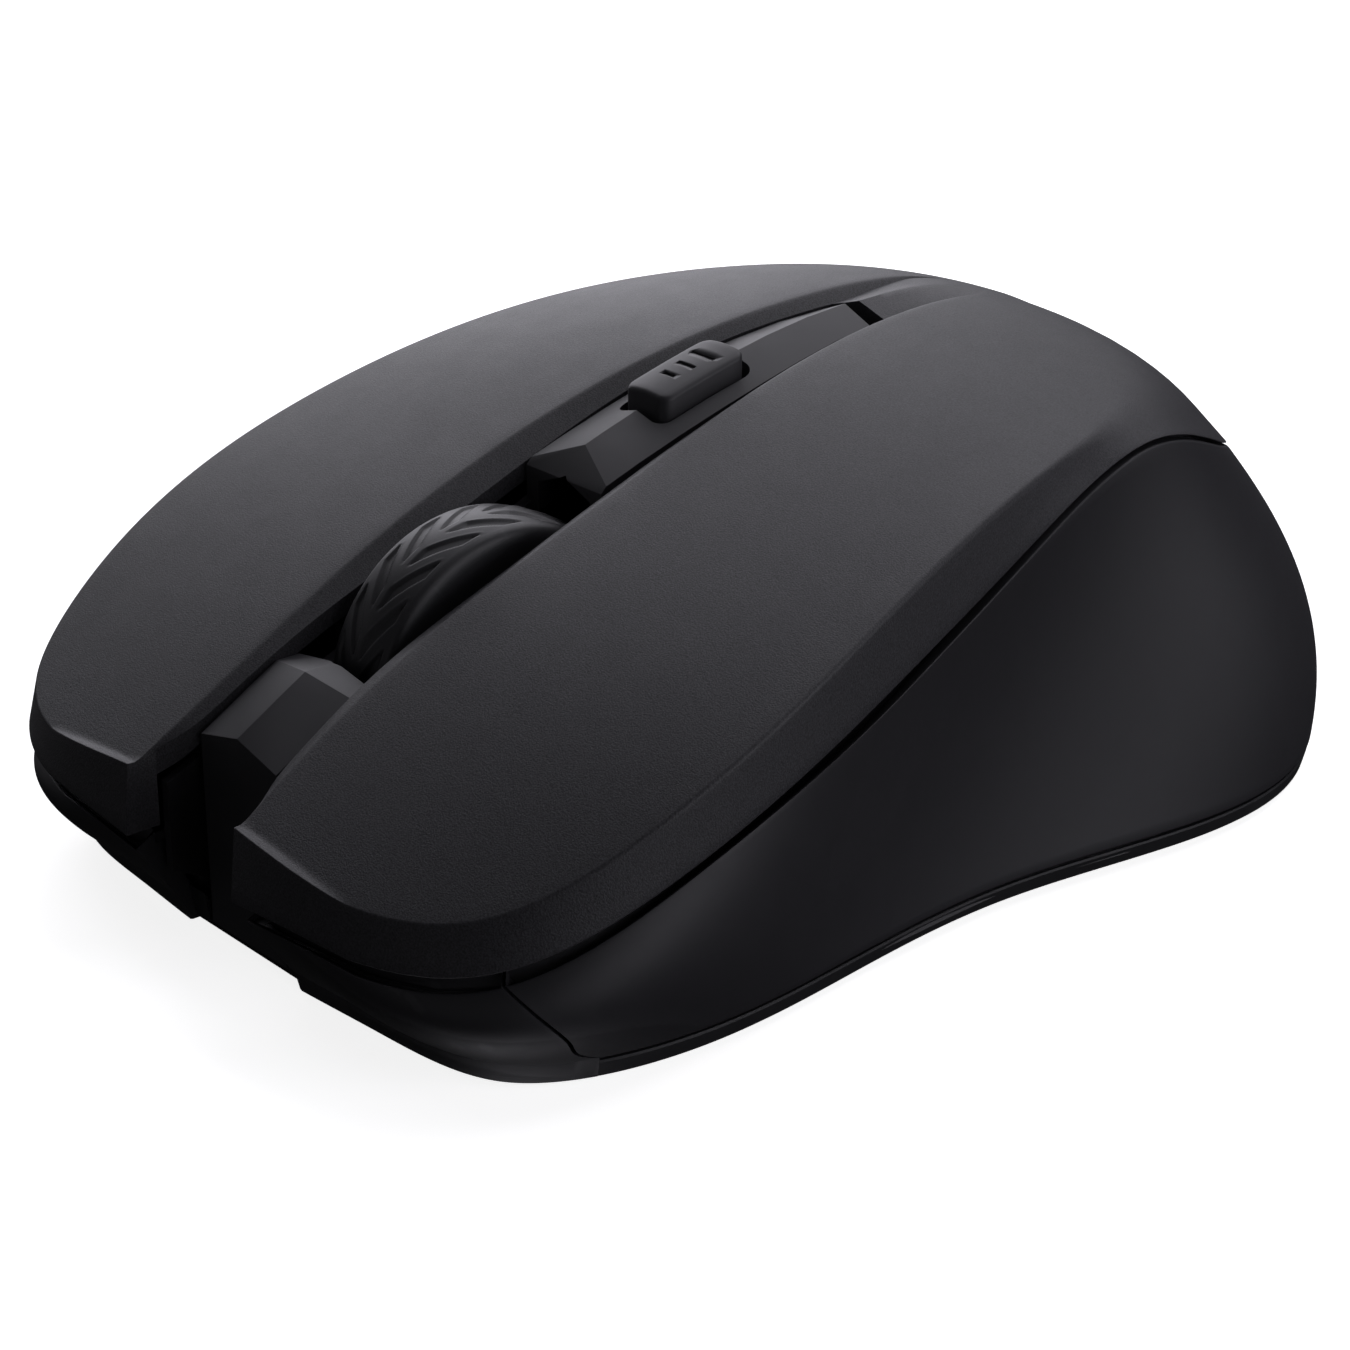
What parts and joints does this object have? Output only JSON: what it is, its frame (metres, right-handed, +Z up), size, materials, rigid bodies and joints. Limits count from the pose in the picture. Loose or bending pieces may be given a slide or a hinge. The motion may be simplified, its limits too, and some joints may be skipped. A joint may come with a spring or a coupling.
{
  "type": "computer mouse",
  "caption": "Wireless mouse with one crowned cover split into button plates, a ridged spine with a treaded scroll wheel and a small button, and waisted side grips.",
  "frame": {"origin": "on the plane that the skid feet rest on, under the middle of the outline's box", "axes": "+Z up, -Y towards the nose, +X towards the user's left hand side"},
  "size_m": [0.0712, 0.104, 0.0389],
  "materials": {
    "grained_shell": "charcoal ABS with a fine spark-eroded grain",
    "smooth_shell": "charcoal ABS, smooth satin",
    "dark_plastic": "near-black ABS, satin",
    "tread_rubber": "semi-gloss moulded rubber",
    "board": "green solder mask over glass fibre",
    "steel": "plated steel",
    "gold": "gold-flashed spring bronze",
    "black_plastic": "black nylon",
    "white_plastic": "white acetal",
    "red_plastic": "red plastic",
    "clear_plastic": "clear optical polycarbonate",
    "cell_sleeve": "plain grey shrink sleeve",
    "glide": "low friction skid tape",
    "label": "blank silver film label"
  },
  "bodies": {
    "root": {"palm_cover": "grained_shell", "left_side_panel": "smooth_shell", "right_side_panel": "smooth_shell", "bottom_case": "dark_plastic", "centre_spine": "smooth_shell", "nose_frame": "dark_plastic", "carrier_spring": "steel", "scroll_encoder": "dark_plastic", "main_board": "board", "left_switch": "black_plastic", "right_switch": "black_plastic", "middle_switch": "steel", "dpi_switch": "steel", "optical_sensor": "black_plastic", "sensor_lens": "clear_plastic", "infrared_led": "clear_plastic", "radio_chip": "black_plastic", "crystal": "steel", "capacitor": "cell_sleeve", "power_switch": "steel", "aa_cell": "cell_sleeve", "battery_plate": "gold", "battery_spring": "steel", "red_wire": "red_plastic", "black_wire": "black_plastic", "receiver_body": "black_plastic", "receiver_plug": "steel", "front_foot": "glide", "rear_left_foot": "glide", "rear_right_foot": "glide", "case_screw_1": "steel", "case_screw_2": "steel", "case_screw_3": "steel", "case_screw_4": "steel", "board_screw_1": "steel", "board_screw_2": "steel", "rating_label": "label"},
    "left_button": {"left_button": "grained_shell"},
    "right_button": {"right_button": "grained_shell"},
    "dpi_button": {"dpi_button": "smooth_shell"},
    "carrier": {"wheel_carrier": "black_plastic"},
    "wheel": {"wheel_tyre": "tread_rubber", "wheel_hub": "black_plastic", "wheel_axle": "steel", "encoder_rotor": "white_plastic"},
    "left_plunger": {"left_switch_plunger": "white_plastic"},
    "right_plunger": {"right_switch_plunger": "white_plastic"},
    "middle_plunger": {"middle_switch_plunger": "black_plastic"},
    "dpi_plunger": {"dpi_switch_plunger": "red_plastic"},
    "power_knob": {"power_knob": "white_plastic"},
    "battery_door": {"battery_door": "dark_plastic"}
  },
  "joints": [
    {"name": "left_click", "type": "hinge", "parent": "root", "child": "left_button", "pos_m": [0, 0.013, 0.0368], "axis": [1, 0, 0], "range_deg": [0, 0.8], "stiffness_Nm_per_rad": 3},
    {"name": "right_click", "type": "hinge", "parent": "root", "child": "right_button", "pos_m": [0, 0.013, 0.0368], "axis": [1, 0, 0], "range_deg": [0, 0.8], "stiffness_Nm_per_rad": 3},
    {"name": "left_switch_travel", "type": "slide", "parent": "root", "child": "left_plunger", "axis": [0, 0, -1], "range_m": [0, 0.00036]},
    {"name": "right_switch_travel", "type": "slide", "parent": "root", "child": "right_plunger", "axis": [0, 0, -1], "range_m": [0, 0.00036]},
    {"name": "dpi_press", "type": "slide", "parent": "root", "child": "dpi_button", "axis": [0, 0, -1], "range_m": [0, 0.0005], "stiffness_N_per_m": 600},
    {"name": "dpi_switch_travel", "type": "slide", "parent": "root", "child": "dpi_plunger", "axis": [0, 0, -1], "range_m": [0, 0.00026]},
    {"name": "wheel_press", "type": "slide", "parent": "root", "child": "carrier", "axis": [0, 0, -1], "range_m": [0, 0.0006], "stiffness_N_per_m": 900, "deforming": ["carrier_spring"]},
    {"name": "wheel_spin", "type": "hinge", "parent": "carrier", "child": "wheel", "pos_m": [0, -0.0233, 0.017], "axis": [1, 0, 0], "continuous": true},
    {"name": "middle_switch_travel", "type": "slide", "parent": "root", "child": "middle_plunger", "axis": [0, 0, -1], "range_m": [0, 0.00026]},
    {"name": "power_slide", "type": "slide", "parent": "root", "child": "power_knob", "axis": [1, 0, 0], "range_m": [0, 0.0026]},
    {"name": "door_slide", "type": "slide", "parent": "root", "child": "battery_door", "axis": [0, 1, 0], "range_m": [0, 0.042]}
  ],
  "couplings": [
    {"joint": "left_switch_travel", "follows": "left_click", "m_per_rad": 0.024351},
    {"joint": "right_switch_travel", "follows": "right_click", "m_per_rad": 0.024351},
    {"joint": "dpi_switch_travel", "follows": "dpi_press", "ratio": 0.5},
    {"joint": "middle_switch_travel", "follows": "wheel_press", "ratio": 0.4}
  ]
}
